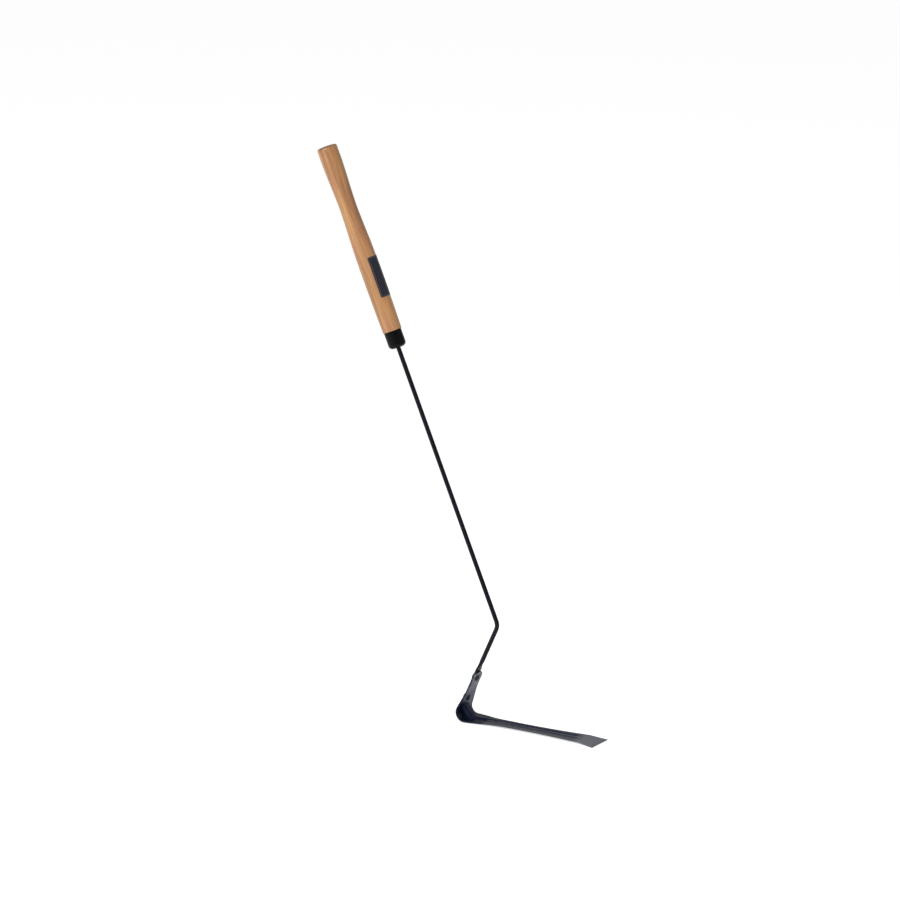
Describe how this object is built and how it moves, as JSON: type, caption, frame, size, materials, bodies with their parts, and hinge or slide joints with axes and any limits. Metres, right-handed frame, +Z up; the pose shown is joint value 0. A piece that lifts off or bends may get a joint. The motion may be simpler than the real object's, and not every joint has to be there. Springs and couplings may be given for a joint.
{
  "type": "long-handled weed cutter",
  "caption": "Weed cutter with a turned wooden grip, a black domed cap, a kinked steel rod and a riveted L-shaped steel blade with a pressed rib and a flared square tip.",
  "frame": {"origin": "under the middle of the tool's length, on the centre plane, level with the lowest edge of the blade's tip", "axes": "+X along the blade from heel to tip, +Y across the blade, +Z up with the blade lying level and the handle leaning back 23.4 degrees towards -X"},
  "size_m": [0.5094, 0.048, 0.884],
  "materials": {
    "oiled_wood": "turned hardwood, satin varnish",
    "black_cap": "satin black enamel on pressed steel",
    "label_film": "plain dark printed film with a pale border",
    "dark_rod": "blue-black lacquered steel",
    "blade_steel": "ground and blued sheet steel",
    "fastener_steel": "black oxide, worn on the heads",
    "washer_steel": "dark plated steel"
  },
  "bodies": {
    "root": {"handle": "oiled_wood", "handle_cap": "black_cap", "handle_label": "label_film", "rod": "dark_rod", "blade": "blade_steel", "upper_rivet": "fastener_steel", "upper_rivet_washer": "washer_steel", "lower_rivet": "fastener_steel", "lower_rivet_washer": "washer_steel"}
  },
  "joints": []
}
